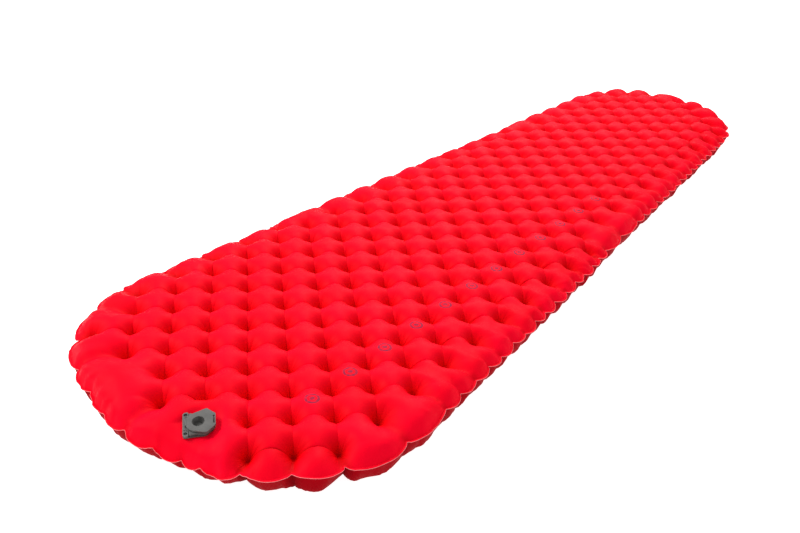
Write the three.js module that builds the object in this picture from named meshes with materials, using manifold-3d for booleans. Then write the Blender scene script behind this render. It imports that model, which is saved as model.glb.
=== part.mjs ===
// Inflatable sleeping pad for hiking: a tapered air mattress of two fabric shells welded together at a grid
// of dots, with insulation and a reflective film inside, and a flat multi-function valve at the head end.
//
// Frame: millimetres, +X from the head end to the foot end, +Y to the pad's left, +Z up. The origin is on
// the ground, under the middle of the pad's outline.

import * as THREE from 'three';
import { mergeVertices } from 'three/addons/utils/BufferGeometryUtils.js';
import Module from 'manifold-3d';

const wasm = await Module();
wasm.setup();

// ---- Driving dimensions of the pad ----

const PAD_LENGTH = 1840;
const PAD_THICKNESS = 50;
const HEAD_HALF_WIDTH = 281; // where the head's rounding meets the straight sides
const FOOT_HALF_WIDTH = 208; // where the foot's rounding meets the straight sides
const HEAD_ROUNDING = 246; // length of the rounded head end
const FOOT_ROUNDING = 216; // length of the rounded foot end
const SHELL_THICKNESS = 0.4;
const FILM_THICKNESS = 0.2;
const BATT_LOFT = 6; // height of the insulation between the dots
const CLEARANCE = 0.3; // between pieces that touch or are welded
const SIDE_BOW = 2; // how far the long sides bow inwards between the rounded ends
const SEAM_WIDTH = 5; // flat weld round the outline
const INNER_LAYER_INSET = 20; // from the outline to the edge of the film and the insulation

// ---- Weld dots: a square grid turned 45 degrees, so that dots line up along the pad and across it ----

const DOT_SPACING = 76.4; // between neighbours in a row along the pad
const GRID_ORIGIN = new THREE.Vector2(-741, -29.5);
const GRID_REACH = 30; // grid steps that cover the pad in both diagonal directions
const DOT_EDGE_MARGIN = 25; // least distance from a dot to the outline
const BORDER_BULGE = 3; // how far the outermost crests lean out towards the outline
const VALVE_CLEAR_RADIUS = 55; // no dot lies closer to the valve's middle
const OPEN_CORNER_DOT = { i: -3, j: 0 }; // left out, so that the head's left corner is one large pillow

// ---- Driving dimensions of the valve, in its own frame: +x from its hinges to its pull tabs, z = 0 on
// the shell's outer face ----

const VALVE_CENTRE = new THREE.Vector3(-863, -68.5, 46.5);
const VALVE_TURN = THREE.MathUtils.degToRad(-42.5);
const VALVE_LEAN = THREE.MathUtils.degToRad(9);
const VALVE_LEAN_HEADING = THREE.MathUtils.degToRad(214.6); // towards the nearest edge of the pad
const DEFLATE_BORE_RADIUS = 12.6;
const INFLATE_BORE_RADIUS = 7.9;
const BODY_TUBE_RADIUS = 15.5;
const BODY_DEPTH = 10;
const FLANGE_RADIUS = 24;
const FLANGE_THICKNESS = 0.7;
const PATCH_RADIUS = 31; // flat patch of the upper shell under the valve
const BASE_PLATE = { bottom: 0.3, top: 2.1 };
const LID_PLATE = { bottom: 2.4, top: 4.7 };
const CAP_PLATE = { bottom: 5.0, top: 7.2 };
const STRAP_POST_PLACE = new THREE.Vector2(-15.2, 15);
const STRAP_POST = { radius: 1.8, neckRadius: 1.3, neckHeight: 0.8, flareHeight: 0.4, recess: 0.9 };
const STRAP_EYELET_RADIUS = 2.3;
const STRAP_REAR_EDGE = -18.9;
const STRAP_FRONT_EDGE = -16.4; // between the strap's ears
const STRAP_EAR = { front: -11.8, inner: 11, outer: 19.4 };
const LID_REAR_EDGE = -16; // the rear of the lid's tongue: the lid swings about a line just behind it
const LID_TONGUE_HALF_WIDTH = 10.6; // the tongue lies between the strap's ears
const LID_SKIRT = { bottom: -6, tipRadius: 10.2, lipRadius: 10.7, shoulderRadius: 11.5, rootRadius: 12.1 };
const LID_CHAMBER = { radius: 8.4, top: 1 };
const DEFLATE_SEAL = { inner: 10.7, outer: 11.5, bottom: -1.8, top: -0.8 };
const SEAT = { bottom: -5.6, top: -4.2, radius: 8.1 };
const AIR_HOLES = { count: 6, radius: 1.6, pitchRadius: 4.8 };
const STEM_RADIUS = 1.2;
const STEM_FOOT = { radius: 2.6, height: 0.9 };
const FLAP = { bottom: -6.6, top: -5.9, radius: 7.6 };
const BUTTON = { bottom: -1.9, top: -0.7, radius: 2.8, edge: 0.4 };
const CAP_REAR_RADIUS = 15.3; // the cap's rear edge is an arc, from 10 degrees behind one side to the other
const CAP_REAR_START = THREE.MathUtils.degToRad(100);
const CAP_WING = { rear: 9, front: 11, y: 19 };
const CAP_TAB = { x: 21, y: 9 };
const CAP_RISE = 0.075; // the cap's plate slopes up by this share of its length, from its rear to its tab
const CAP_PLUG = { radius: 6.3, lipRadius: 6.7, shoulderRadius: 7.3, rootRadius: 7.5 };
const CAP_RECESS = { bottom: 1.3, bottomRadius: 4.7, topRadius: 7.8 }; // for a fingertip
const CAP_SLOT = { start: 17.9, end: 19.9, halfWidth: 6.5 }; // through the pull tab
const INFLATE_SEAL = { inner: 6.6, outer: 7.1, bottom: 2.0, top: 2.8 };
const MERGE_DEPTH = 0.5; // how far two joined shapes run into each other
const CUT_MARGIN = 1; // how far a cutting shape runs past what it cuts

// ---- Tessellation ----

const ARC_STEPS = 9; // per rounded end of the outline
const SIDE_STEPS = 18; // per straight side of the outline
const ROUND_STEPS = 48; // round pieces of the valve
const CORNER_STEPS = 5; // rounded corners of the valve's plates

// ---- Heights worked out from the above, for the upper shell's outer face ----

const MID_HEIGHT = PAD_THICKNESS / 2;
const SEAM_HEIGHT = MID_HEIGHT + CLEARANCE / 2 + SHELL_THICKNESS;
const FILM_BOTTOM = MID_HEIGHT - CLEARANCE / 2 - FILM_THICKNESS;
const BATT_BOTTOM = MID_HEIGHT + CLEARANCE / 2;
const DOT_HEIGHT = BATT_BOTTOM + FILM_THICKNESS + CLEARANCE + SHELL_THICKNESS;

// The edge of a shell from the outline inwards: a flat seam, then a wall that rounds over to the full height.
const SHELL_EDGE = [
  { inset: 0, height: SEAM_HEIGHT },
  { inset: SEAM_WIDTH, height: SEAM_HEIGHT },
  { inset: SEAM_WIDTH + 4, height: MID_HEIGHT + 0.6 * MID_HEIGHT },
  { inset: SEAM_WIDTH + 12, height: MID_HEIGHT + 0.93 * MID_HEIGHT },
];

const COLOURS = {
  upperFabric: 0xfb1535,
  lowerFabric: 0xa80a1c,
  batting: 0xe9e7e0,
  film: 0xb9bcc0,
  flange: 0x8c1220,
  valve: 0x676561,
  valveDark: 0x44423f,
  rubber: 0x2d2c2b,
};

// ---------------------------------------------------------------- outline and weld grid

const HEAD_CENTRE_X = -PAD_LENGTH / 2 + HEAD_ROUNDING;
const FOOT_CENTRE_X = PAD_LENGTH / 2 - FOOT_ROUNDING;
const SIDE_TAPER = (HEAD_HALF_WIDTH - FOOT_HALF_WIDTH) / (FOOT_CENTRE_X - HEAD_CENTRE_X);

function taperedHalfWidth(x) {
  const along = THREE.MathUtils.clamp((x - HEAD_CENTRE_X) / (FOOT_CENTRE_X - HEAD_CENTRE_X), 0, 1);
  return HEAD_HALF_WIDTH - SIDE_TAPER * (x - HEAD_CENTRE_X) - SIDE_BOW * Math.sin(Math.PI * along);
}

// How far the outline reaches from the centre line at x, once it is moved in by inset.
function halfWidth(x, inset) {
  let rounding = 1;
  if (x < HEAD_CENTRE_X) {
    rounding = 1 - ((HEAD_CENTRE_X - x) / (HEAD_ROUNDING - inset)) ** 2;
  }
  if (x > FOOT_CENTRE_X) {
    rounding = 1 - ((x - FOOT_CENTRE_X) / (FOOT_ROUNDING - inset)) ** 2;
  }
  return rounding < 0 ? -1 : (taperedHalfWidth(x) - inset) * Math.sqrt(rounding);
}

function isInsideOutline(point, inset) {
  return Math.abs(point.y) <= halfWidth(point.x, inset);
}

// Points of the right-hand half of the outline, from the head's tip to the foot's tip, for one inset.
function rightHalfOutline(inset) {
  const points = [];
  for (let step = 0; step < ARC_STEPS; step++) {
    const angle = (Math.PI / 2) * (1 - step / ARC_STEPS);
    const x = HEAD_CENTRE_X - (HEAD_ROUNDING - inset) * Math.sin(angle);
    points.push(new THREE.Vector2(x, -(taperedHalfWidth(x) - inset) * Math.cos(angle)));
  }
  for (let step = 0; step <= SIDE_STEPS; step++) {
    const x = THREE.MathUtils.lerp(HEAD_CENTRE_X, FOOT_CENTRE_X, step / SIDE_STEPS);
    points.push(new THREE.Vector2(x, -(taperedHalfWidth(x) - inset)));
  }
  for (let step = 1; step <= ARC_STEPS; step++) {
    const angle = (Math.PI / 2) * (step / ARC_STEPS);
    const x = FOOT_CENTRE_X + (FOOT_ROUNDING - inset) * Math.sin(angle);
    points.push(new THREE.Vector2(x, -(taperedHalfWidth(x) - inset) * Math.cos(angle)));
  }
  return points;
}

// The whole outline, counter-clockwise from the head's tip.
function outline(inset) {
  const right = rightHalfOutline(inset);
  const left = right.slice(1, -1).reverse().map((point) => new THREE.Vector2(point.x, -point.y));
  return [...right, ...left];
}

function gridPoint(i, j) {
  return new THREE.Vector2(
    GRID_ORIGIN.x + ((i + j) / 2) * DOT_SPACING,
    GRID_ORIGIN.y + ((j - i) / 2) * DOT_SPACING,
  );
}

function isWelded(i, j) {
  const point = gridPoint(i, j);
  const nearValve = point.distanceTo(new THREE.Vector2(VALVE_CENTRE.x, VALVE_CENTRE.y)) < VALVE_CLEAR_RADIUS;
  const inOpenCorner = i === OPEN_CORNER_DOT.i && j === OPEN_CORNER_DOT.j;
  return isInsideOutline(point, DOT_EDGE_MARGIN) && !nearValve && !inOpenCorner;
}

// ---------------------------------------------------------------- plans: flat triangulations with heights

// A plan collects points, each with the height of the upper shell's outer face there, and triangles that
// run counter-clockwise.
class Plan {
  constructor() {
    this.points = [];
    this.heights = [];
    this.triangles = [];
    this.named = new Map();
  }

  add(point, height) {
    this.points.push(point);
    this.heights.push(height);
    return this.points.length - 1;
  }

  // A point that several cells share, added once.
  addNamed(name, point, height) {
    if (!this.named.has(name)) {
      this.named.set(name, this.add(point, height));
    }
    return this.named.get(name);
  }

  triangle(a, b, c) {
    const [pointA, pointB, pointC] = [a, b, c].map((index) => this.points[index]);
    const turn = pointB.clone().sub(pointA).cross(pointC.clone().sub(pointA));
    this.triangles.push(turn > 0 ? [a, b, c] : [a, c, b]);
  }

  // A band of triangles between two rings of equally many points.
  band(outer, inner) {
    for (let k = 0; k < outer.length; k++) {
      const next = (k + 1) % outer.length;
      this.triangle(outer[k], outer[next], inner[next]);
      this.triangle(outer[k], inner[next], inner[k]);
    }
  }

  // Triangles between one ring and the holes inside it, without new points.
  fill(ring, holes) {
    const indices = [...ring, ...holes.flat()];
    const toPoints = (loop) => loop.map((index) => this.points[index]);
    const faces = THREE.ShapeUtils.triangulateShape(toPoints(ring), holes.map(toPoints));
    for (const face of faces) {
      this.triangle(...face.map((corner) => indices[corner]));
    }
  }

  // The edges that have a triangle on one side only, each as [from, to] with the triangle on its left.
  openEdges() {
    const edges = new Map();
    for (const corners of this.triangles) {
      corners.forEach((from, k) => {
        const to = corners[(k + 1) % corners.length];
        edges.set(`${from},${to}`, [from, to]);
      });
    }
    return [...edges.values()].filter(([from, to]) => !edges.has(`${to},${from}`));
  }
}

// The border of the welded cells as one loop of point indices.
function borderLoop(plan) {
  const following = new Map(plan.openEdges());
  const start = following.keys().next().value;
  const loop = [start];
  for (let index = following.get(start); index !== start; index = following.get(index)) {
    loop.push(index);
  }
  return loop;
}

// Moves the crests of a counter-clockwise border outwards, off the straight line between their dots.
function bulgeBorder(plan, border, crestHeight) {
  border.forEach((index, k) => {
    if (plan.heights[index] === PAD_THICKNESS) {
      plan.heights[index] = crestHeight;
      const before = plan.points[border[(k + border.length - 1) % border.length]];
      const after = plan.points[border[(k + 1) % border.length]];
      const outwards = new THREE.Vector2(after.y - before.y, before.x - after.x).setLength(BORDER_BULGE);
      plan.points[index].add(outwards);
    }
  });
}

// Calls visit with the four corners, as grid steps, of each cell whose corners are all welded.
function forEachCell(visit) {
  for (let i = -GRID_REACH; i < GRID_REACH; i++) {
    for (let j = -GRID_REACH; j < GRID_REACH; j++) {
      const corners = [[i, j], [i + 1, j], [i + 1, j + 1], [i, j + 1]];
      if (corners.every(([a, b]) => isWelded(a, b))) {
        visit(corners);
      }
    }
  }
}

function middle([a, b], [c, d]) {
  return [(a + c) / 2, (b + d) / 2];
}

function circlePoints(radius, steps) {
  const points = [];
  for (let k = 0; k < steps; k++) {
    const angle = (2 * Math.PI * k) / steps;
    points.push(new THREE.Vector2(radius * Math.cos(angle), radius * Math.sin(angle)));
  }
  return points;
}

// Cells that are low at their four dots and flat at full height between them.
function addCells(plan) {
  const dot = ([i, j]) => plan.addNamed(`dot ${i} ${j}`, gridPoint(i, j), DOT_HEIGHT);
  const crest = ([i, j]) => plan.addNamed(`crest ${i} ${j}`, gridPoint(i, j), PAD_THICKNESS);
  forEachCell((corners) => {
    const dots = corners.map(dot);
    const crests = corners.map((corner, k) => crest(middle(corner, corners[(k + 1) % corners.length])));
    dots.forEach((index, k) => {
      plan.triangle(index, crests[k], crests[(k + 3) % crests.length]);
    });
    plan.triangle(crests[0], crests[1], crests[2]);
    plan.triangle(crests[0], crests[2], crests[3]);
  });
}

// A flat round patch with a hole, leaning with the valve.
function addValvePatch(plan) {
  const onPatch = (local) => {
    const place = valveFrame.localToWorld(new THREE.Vector3(local.x, local.y, 0));
    return plan.add(new THREE.Vector2(place.x, place.y), place.z);
  };
  const rim = circlePoints(PATCH_RADIUS, ROUND_STEPS).map(onPatch);
  const hole = circlePoints(BODY_TUBE_RADIUS + CLEARANCE, ROUND_STEPS).map(onPatch);
  plan.band(rim, hole);
  return rim;
}

// The welded cells and the border round them, out to the edge that the profile gives.
function quiltPlan(edgeProfile, { borderCrest = PAD_THICKNESS, withValve = false } = {}) {
  const plan = new Plan();
  addCells(plan);
  const cellBorder = borderLoop(plan);
  bulgeBorder(plan, cellBorder, borderCrest);
  const rings = edgeProfile.map(({ inset, height }) => {
    return outline(inset).map((point) => plan.add(point, height));
  });
  for (let k = 1; k < rings.length; k++) {
    plan.band(rings[k - 1], rings[k]);
  }
  const holes = withValve ? [cellBorder, addValvePatch(plan)] : [cellBorder];
  plan.fill(rings[rings.length - 1], holes);
  return plan;
}

// ---------------------------------------------------------------- solids

// A closed sheet from a plan: its two faces lie at the heights that upper and lower give.
function sheetGeometry(plan, upper, lower) {
  const count = plan.points.length;
  const positions = [];
  for (const level of [upper, lower]) {
    plan.points.forEach((point, index) => {
      positions.push(point.x, point.y, level(plan.heights[index]));
    });
  }
  const indices = plan.triangles.flatMap(([a, b, c]) => [a, b, c, count + a, count + c, count + b]);
  for (const [from, to] of plan.openEdges()) {
    indices.push(count + from, count + to, to, count + from, to, from);
  }
  const geometry = new THREE.BufferGeometry();
  geometry.setAttribute('position', new THREE.Float32BufferAttribute(positions, 3));
  geometry.setIndex(indices);
  geometry.computeVertexNormals();
  return geometry;
}

function toSolid(geometry) {
  const bare = geometry.clone();
  bare.deleteAttribute('normal');
  bare.deleteAttribute('uv');
  const merged = mergeVertices(bare);
  const corners = [...merged.index.array];
  const triangles = [];
  for (let k = 0; k < corners.length; k += 3) {
    const [a, b, c] = corners.slice(k, k + 3);
    if (a !== b && b !== c && c !== a) {
      triangles.push(a, b, c);
    }
  }
  return new wasm.Manifold(
    new wasm.Mesh({
      numProp: 3,
      vertProperties: Float32Array.from(merged.attributes.position.array),
      triVerts: Uint32Array.from(triangles),
    }),
  );
}

function toGeometry(solid) {
  const mesh = solid.getMesh();
  const geometry = new THREE.BufferGeometry();
  geometry.setAttribute('position', new THREE.BufferAttribute(mesh.vertProperties, mesh.numProp));
  geometry.setIndex([...mesh.triVerts]);
  return geometry;
}

// A turned solid from [radius, z] pairs: the profile starts and ends on the axis or closes on itself.
function turned(profile) {
  const points = profile.map(([radius, z]) => new THREE.Vector2(radius, z));
  const geometry = new THREE.LatheGeometry(points, ROUND_STEPS);
  geometry.rotateX(Math.PI / 2);
  return toSolid(geometry);
}

function turnedRing(inner, outer, bottom, top) {
  return turned([[inner, bottom], [outer, bottom], [outer, top], [inner, top], [inner, bottom]]);
}

function turnedDisc(radius, bottom, top) {
  return turned([[0, bottom], [radius, bottom], [radius, top], [0, top]]);
}

function plate(shape, { bottom, top }) {
  const options = { depth: top - bottom, bevelEnabled: false, curveSegments: CORNER_STEPS };
  const geometry = new THREE.ExtrudeGeometry(shape, options);
  geometry.translate(0, 0, bottom);
  return toSolid(geometry);
}

// A closed outline through corners { x, y, r }, each rounded by about r.
function roundedOutline(corners) {
  const shape = new THREE.Shape();
  corners.forEach(({ x, y, r }, k) => {
    const corner = new THREE.Vector2(x, y);
    const before = corners[(k + corners.length - 1) % corners.length];
    const after = corners[(k + 1) % corners.length];
    const start = corner.clone().add(new THREE.Vector2(before.x - x, before.y - y).setLength(r));
    const end = corner.clone().add(new THREE.Vector2(after.x - x, after.y - y).setLength(r));
    if (k === 0) {
      shape.moveTo(start.x, start.y);
    } else {
      shape.lineTo(start.x, start.y);
    }
    shape.quadraticCurveTo(corner.x, corner.y, end.x, end.y);
  });
  shape.closePath();
  return shape;
}

// The same outline on both sides of the valve's centre line, from corners on its left side.
function mirroredOutline(leftCorners) {
  const rightCorners = leftCorners.map(({ x, y, r }) => ({ x, y: -y, r })).reverse();
  return roundedOutline([...leftCorners, ...rightCorners]);
}

function boxSolid([x0, x1], [y0, y1], [z0, z1]) {
  const geometry = new THREE.BoxGeometry(x1 - x0, y1 - y0, z1 - z0);
  geometry.translate((x0 + x1) / 2, (y0 + y1) / 2, (z0 + z1) / 2);
  return toSolid(geometry);
}

// ---------------------------------------------------------------- the pad's pieces

function piece(name, geometry, colour, roughness) {
  const material = new THREE.MeshStandardMaterial({ color: colour, roughness, metalness: 0 });
  const mesh = new THREE.Mesh(geometry, material);
  mesh.name = name;
  return mesh;
}

function topShell() {
  const geometry = sheetGeometry(
    quiltPlan(SHELL_EDGE, { withValve: true }),
    (height) => height,
    (height) => height - SHELL_THICKNESS,
  );
  return piece('top_shell', geometry, COLOURS.upperFabric, 0.6);
}

// The upper shell's shape upside down, without the valve's opening.
function bottomShell() {
  const geometry = sheetGeometry(
    quiltPlan(SHELL_EDGE),
    (height) => PAD_THICKNESS - height + SHELL_THICKNESS,
    (height) => PAD_THICKNESS - height,
  );
  return piece('bottom_shell', geometry, COLOURS.lowerFabric, 0.7);
}

// Pinched thin at the dots and round its border, and lofty between the dots.
function insulationBatt() {
  const edge = [{ inset: INNER_LAYER_INSET, height: DOT_HEIGHT }];
  const pinched = BATT_BOTTOM + FILM_THICKNESS;
  const loftPerHeight = (BATT_LOFT - FILM_THICKNESS) / (PAD_THICKNESS - DOT_HEIGHT);
  const geometry = sheetGeometry(
    quiltPlan(edge, { borderCrest: DOT_HEIGHT }),
    (height) => pinched + (height - DOT_HEIGHT) * loftPerHeight,
    () => BATT_BOTTOM,
  );
  return piece('insulation_batt', geometry, COLOURS.batting, 0.95);
}

function reflectiveFilm() {
  const shape = new THREE.Shape(outline(INNER_LAYER_INSET));
  const geometry = new THREE.ExtrudeGeometry(shape, { depth: FILM_THICKNESS, bevelEnabled: false });
  geometry.translate(0, 0, FILM_BOTTOM);
  const film = piece('reflective_film', geometry, COLOURS.film, 0.3);
  film.material.metalness = 0.8;
  return film;
}

// ---------------------------------------------------------------- the valve's fixed pieces

// Welded to the inside of the upper shell round the valve.
function weldFlange() {
  const top = -SHELL_THICKNESS - CLEARANCE;
  const solid = turnedRing(BODY_TUBE_RADIUS + CLEARANCE, FLANGE_RADIUS, top - FLANGE_THICKNESS, top);
  return piece('valve_weld_flange', toGeometry(solid), COLOURS.flange, 0.6);
}

// A tube through the shell with a plate on top of it, and a bore for the deflate lid.
function valveBody() {
  const outlineOfPlate = mirroredOutline([
    { x: 19.5, y: 8.5, r: 3.5 },
    { x: 9, y: 18.5, r: 4 },
    { x: -6, y: 18.5, r: 4 },
    { x: STRAP_REAR_EDGE, y: STRAP_EAR.outer, r: 4.5 },
  ]);
  const solid = plate(outlineOfPlate, BASE_PLATE)
    .add(turnedDisc(BODY_TUBE_RADIUS, -BODY_DEPTH, BASE_PLATE.bottom + MERGE_DEPTH))
    .subtract(turnedDisc(DEFLATE_BORE_RADIUS, -BODY_DEPTH - CUT_MARGIN, BASE_PLATE.top + CUT_MARGIN));
  return piece('valve_body', toGeometry(solid), COLOURS.valveDark, 0.7);
}

// The strip that carries the lids' hinges. Its two ears have eyelets that sit round the posts.
function lidStrap() {
  const strip = mirroredOutline([
    { x: STRAP_FRONT_EDGE, y: STRAP_EAR.inner, r: 0.6 },
    { x: STRAP_EAR.front, y: STRAP_EAR.inner, r: 0.8 },
    { x: STRAP_EAR.front, y: STRAP_EAR.outer, r: 2 },
    { x: STRAP_REAR_EDGE, y: STRAP_EAR.outer, r: 4.5 },
  ]);
  let solid = plate(strip, LID_PLATE);
  for (const side of [1, -1]) {
    const eyelet = turnedDisc(STRAP_EYELET_RADIUS, LID_PLATE.bottom - CUT_MARGIN, LID_PLATE.top + CUT_MARGIN);
    solid = solid.subtract(eyelet.translate([STRAP_POST_PLACE.x, side * STRAP_POST_PLACE.y, 0]));
  }
  return piece('lid_strap', toGeometry(solid), COLOURS.valve, 0.7);
}

// A post with a head that keeps the strap on it, sunk below the strap's face.
function strapPost(name, side) {
  const headTop = LID_PLATE.top - STRAP_POST.recess;
  const neckTop = LID_PLATE.bottom + STRAP_POST.neckHeight;
  const solid = turned([
    [0, LID_PLATE.bottom],
    [STRAP_POST.neckRadius, LID_PLATE.bottom],
    [STRAP_POST.neckRadius, neckTop],
    [STRAP_POST.radius, neckTop + STRAP_POST.flareHeight],
    [STRAP_POST.radius, headTop],
    [0, headTop],
  ]);
  const post = piece(name, toGeometry(solid), COLOURS.rubber, 0.6);
  post.position.set(STRAP_POST_PLACE.x, side * STRAP_POST_PLACE.y, 0);
  return post;
}

// ---------------------------------------------------------------- the deflate lid and what it carries

// A plate over the body's bore with a tapered skirt that plugs it, so that it clears the bore as it swings.
function deflateLid() {
  const outlineOfPlate = mirroredOutline([
    { x: 20.5, y: 8, r: 2.5 },
    { x: 9.5, y: 18.2, r: 3 },
    { x: -3, y: 16.2, r: 4 },
    { x: STRAP_EAR.front + 2 * CLEARANCE, y: 17.6, r: 2 },
    { x: STRAP_EAR.front + 2 * CLEARANCE, y: LID_TONGUE_HALF_WIDTH, r: 0.6 },
    { x: LID_REAR_EDGE, y: LID_TONGUE_HALF_WIDTH, r: 0.8 },
  ]);
  const groove = sealGroove(DEFLATE_SEAL);
  const rootHeight = LID_PLATE.bottom + MERGE_DEPTH;
  const skirt = turned([
    [0, LID_SKIRT.bottom],
    [LID_SKIRT.tipRadius, LID_SKIRT.bottom],
    [LID_SKIRT.lipRadius, groove.bottom],
    [groove.radius, groove.bottom],
    [groove.radius, groove.top],
    [LID_SKIRT.shoulderRadius, groove.top],
    [LID_SKIRT.rootRadius, rootHeight],
    [0, rootHeight],
  ]);
  const solid = plate(outlineOfPlate, LID_PLATE)
    .add(skirt)
    .subtract(turnedDisc(INFLATE_BORE_RADIUS, 0, LID_PLATE.top + CUT_MARGIN))
    .subtract(turnedDisc(LID_CHAMBER.radius, LID_SKIRT.bottom - CUT_MARGIN, LID_CHAMBER.top));
  return piece('deflate_lid', toGeometry(solid), COLOURS.valve, 0.7);
}

// The groove that a seal sits in, with clearance on each side.
function sealGroove(seal) {
  return { radius: seal.inner - CLEARANCE, bottom: seal.bottom - CLEARANCE, top: seal.top + CLEARANCE };
}

function sealRing(name, { inner, outer, bottom, top }) {
  return piece(name, toGeometry(turnedRing(inner, outer, bottom, top)), COLOURS.rubber, 0.5);
}

// A disc with a ring of air holes, in the lid's skirt: the check flap closes them from below.
function checkSeat() {
  let solid = turnedRing(STEM_RADIUS + CLEARANCE, SEAT.radius, SEAT.bottom, SEAT.top);
  for (const place of circlePoints(AIR_HOLES.pitchRadius, AIR_HOLES.count)) {
    const hole = turnedDisc(AIR_HOLES.radius, SEAT.bottom - CUT_MARGIN, SEAT.top + CUT_MARGIN);
    solid = solid.subtract(hole.translate([place.x, place.y, 0]));
  }
  return piece('check_seat', toGeometry(solid), COLOURS.valveDark, 0.6);
}

// ---------------------------------------------------------------- the one-way check valve

function checkFlap() {
  const solid = turnedRing(STEM_RADIUS + CLEARANCE, FLAP.radius, FLAP.bottom, FLAP.top);
  return piece('check_flap', toGeometry(solid), COLOURS.rubber, 0.5);
}

// The stem has a button above the seat, pressed to let a little air out, and a foot below the flap.
function checkStem() {
  const footTop = FLAP.bottom - CLEARANCE;
  const footBottom = footTop - STEM_FOOT.height;
  const solid = turned([
    [0, footBottom],
    [STEM_FOOT.radius, footBottom],
    [STEM_FOOT.radius, footTop],
    [STEM_RADIUS, footTop],
    [STEM_RADIUS, BUTTON.bottom],
    [BUTTON.radius, BUTTON.bottom],
    [BUTTON.radius, BUTTON.top - BUTTON.edge],
    [BUTTON.radius - BUTTON.edge, BUTTON.top],
    [0, BUTTON.top],
  ]);
  return piece('check_stem', toGeometry(solid), COLOURS.valveDark, 0.5);
}

// ---------------------------------------------------------------- the inflate cap

// A plate with an arc behind, straight wings and a pull tab in front, seen from above.
function capOutline() {
  const shape = new THREE.Shape();
  shape.absarc(0, 0, CAP_REAR_RADIUS, CAP_REAR_START, 2 * Math.PI - CAP_REAR_START, false);
  shape.lineTo(CAP_WING.rear, -CAP_WING.y);
  shape.lineTo(CAP_WING.front, -CAP_WING.y);
  shape.lineTo(CAP_TAB.x, -CAP_TAB.y);
  shape.lineTo(CAP_TAB.x, CAP_TAB.y);
  shape.lineTo(CAP_WING.front, CAP_WING.y);
  shape.lineTo(CAP_WING.rear, CAP_WING.y);
  shape.closePath();
  return shape;
}

// How far the cap's plate has risen at x.
function capRise(x) {
  return CAP_RISE * (x + CAP_REAR_RADIUS);
}

// The plate rises towards its tab, which leaves room for a fingertip over the lid.
function capPlate() {
  return plate(capOutline(), CAP_PLATE).warp((point) => {
    point[2] += capRise(point[0]);
  });
}

// The cap has a plug for the lid's bore, a finger recess in its middle and a slot through its tab.
function inflateCap() {
  const groove = sealGroove(INFLATE_SEAL);
  const rootHeight = CAP_PLATE.bottom + capRise(CAP_PLUG.rootRadius) + MERGE_DEPTH;
  const plug = turned([
    [0, 0],
    [CAP_PLUG.radius, 0],
    [CAP_PLUG.lipRadius, groove.bottom],
    [groove.radius, groove.bottom],
    [groove.radius, groove.top],
    [CAP_PLUG.shoulderRadius, groove.top],
    [CAP_PLUG.rootRadius, rootHeight],
    [0, rootHeight],
  ]);
  const capTop = CAP_PLATE.top + capRise(CAP_TAB.x);
  const recess = turned([
    [0, CAP_RECESS.bottom],
    [CAP_RECESS.bottomRadius, CAP_RECESS.bottom],
    [CAP_RECESS.topRadius, CAP_PLATE.top + capRise(0)],
    [CAP_RECESS.topRadius, capTop],
    [0, capTop],
  ]);
  const slot = boxSolid(
    [CAP_SLOT.start, CAP_SLOT.end],
    [-CAP_SLOT.halfWidth, CAP_SLOT.halfWidth],
    [CAP_PLATE.bottom, capTop + CUT_MARGIN],
  );
  const solid = capPlate().add(plug).subtract(recess).subtract(slot);
  return piece('inflate_cap', toGeometry(solid), COLOURS.valve, 0.7);
}

// ---------------------------------------------------------------- assembly

// The valve leans with the shell under it, and its pull tabs point to the pad's right and foot.
function makeValveFrame() {
  const frame = new THREE.Group();
  const leanAxis = new THREE.Vector3(-Math.sin(VALVE_LEAN_HEADING), Math.cos(VALVE_LEAN_HEADING), 0);
  const lean = new THREE.Quaternion().setFromAxisAngle(leanAxis, VALVE_LEAN);
  const turn = new THREE.Quaternion().setFromAxisAngle(new THREE.Vector3(0, 0, 1), VALVE_TURN);
  frame.quaternion.copy(lean).multiply(turn);
  frame.position.copy(VALVE_CENTRE);
  frame.updateMatrixWorld(true);
  return frame;
}

const valveFrame = makeValveFrame();
valveFrame.add(weldFlange(), valveBody(), lidStrap());
valveFrame.add(strapPost('strap_post_left', 1), strapPost('strap_post_right', -1));
valveFrame.add(deflateLid(), sealRing('deflate_seal', DEFLATE_SEAL), checkSeat());
valveFrame.add(checkFlap(), checkStem());
valveFrame.add(inflateCap(), sealRing('inflate_seal', INFLATE_SEAL));

const sleepingPad = new THREE.Group();
sleepingPad.add(topShell(), bottomShell(), insulationBatt(), reflectiveFilm(), valveFrame);

export default sleepingPad;
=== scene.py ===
"""Looks for the inflatable sleeping pad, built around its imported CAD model.

The two fabric shells are one pattern of cloth, welded together at a grid of dots and round the outline,
and inflated by a cloth simulation. The valve's pieces are the CAD's own shapes with softened edges.
Everything is in metres, +X from the head end to the foot end, +Y to the pad's left, +Z up.
"""

import math
from types import SimpleNamespace

import bmesh
import bpy
import numpy as np
from mathutils import Matrix, Vector
from mathutils.geometry import delaunay_2d_cdt


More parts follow.
